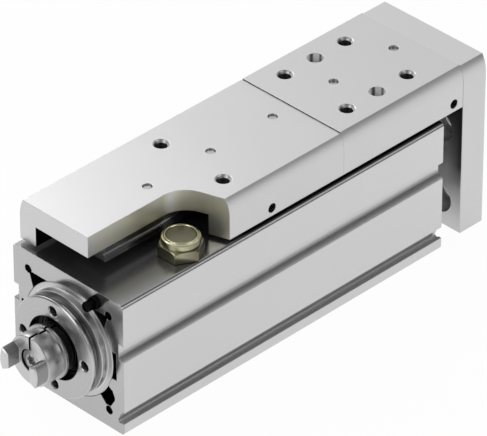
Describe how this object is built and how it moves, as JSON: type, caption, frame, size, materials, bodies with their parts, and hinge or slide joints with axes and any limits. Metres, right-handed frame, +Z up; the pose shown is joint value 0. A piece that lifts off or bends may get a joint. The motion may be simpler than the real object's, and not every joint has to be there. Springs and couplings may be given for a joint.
{
  "type": "miniature linear slide",
  "caption": "Miniature linear slide: a square extruded housing with a spindle drive, and a guided slide plate that carries a yoke plate out past its front end.",
  "frame": {"origin": "centre of the housing's flat mounting face, half way along the housing", "axes": "+X along the travel, from the drive flange to the yoke; +Z up out of the mounting face; the vent filter's side is -Y"},
  "size_m": [0.1683, 0.0446, 0.0595],
  "materials": {
    "housing_metal": "satin anodised",
    "slide_metal": "satin anodised",
    "flange_metal": "turned",
    "inner_metal": "machined",
    "coupling_metal": "turned",
    "bright_steel": "ground",
    "screw_steel": "satin",
    "black_steel": "blackened",
    "vent_brass": "turned",
    "sinter": "rough sintered",
    "buffer_rubber": "matt",
    "guide_plastic": "matt"
  },
  "bodies": {
    "housing": {"housing_profile": "housing_metal", "drive_flange": "flange_metal", "bearing_retainer": "inner_metal", "front_cap": "inner_metal", "front_carriage": "bright_steel", "rear_carriage": "bright_steel", "bearing_outer_rings": "bright_steel", "channel_screws": "screw_steel", "carriage_screws": "screw_steel", "cap_clip": "screw_steel", "locating_pin": "black_steel", "vent_body": "vent_brass", "vent_disc": "sinter", "rear_buffer": "buffer_rubber", "front_buffer": "buffer_rubber", "rod_scraper": "buffer_rubber", "guide_bush": "guide_plastic", "carriage_end_caps": "guide_plastic"},
    "slide": {"slide_plate": "slide_metal", "guide_rail": "bright_steel", "rail_screws": "screw_steel", "yoke_plate": "slide_metal", "yoke_screws": "screw_steel", "yoke_dowels": "bright_steel", "rod_screw": "screw_steel", "thrust_tube": "inner_metal", "tube_plug": "screw_steel", "spindle_nut": "bright_steel", "nut_carrier": "inner_metal", "magnet_ring": "screw_steel"},
    "spindle": {"ball_screw": "bright_steel", "bearing_inner_rings": "bright_steel", "bearing_balls": "bright_steel", "lock_nut": "screw_steel", "coupling_hub": "coupling_metal", "coupling_screw": "screw_steel"}
  },
  "joints": [
    {"name": "slide_travel", "type": "slide", "parent": "housing", "child": "slide", "axis": [1, 0, 0], "range_m": [0, 0.05]},
    {"name": "spindle_turn", "type": "hinge", "parent": "housing", "child": "spindle", "pos_m": [-0.06, 0, 0.02225], "axis": [1, 0, 0], "range_deg": [-1800, 0]}
  ],
  "couplings": [
    {"joint": "spindle_turn", "follows": "slide_travel", "rad_per_m": -628.32}
  ]
}
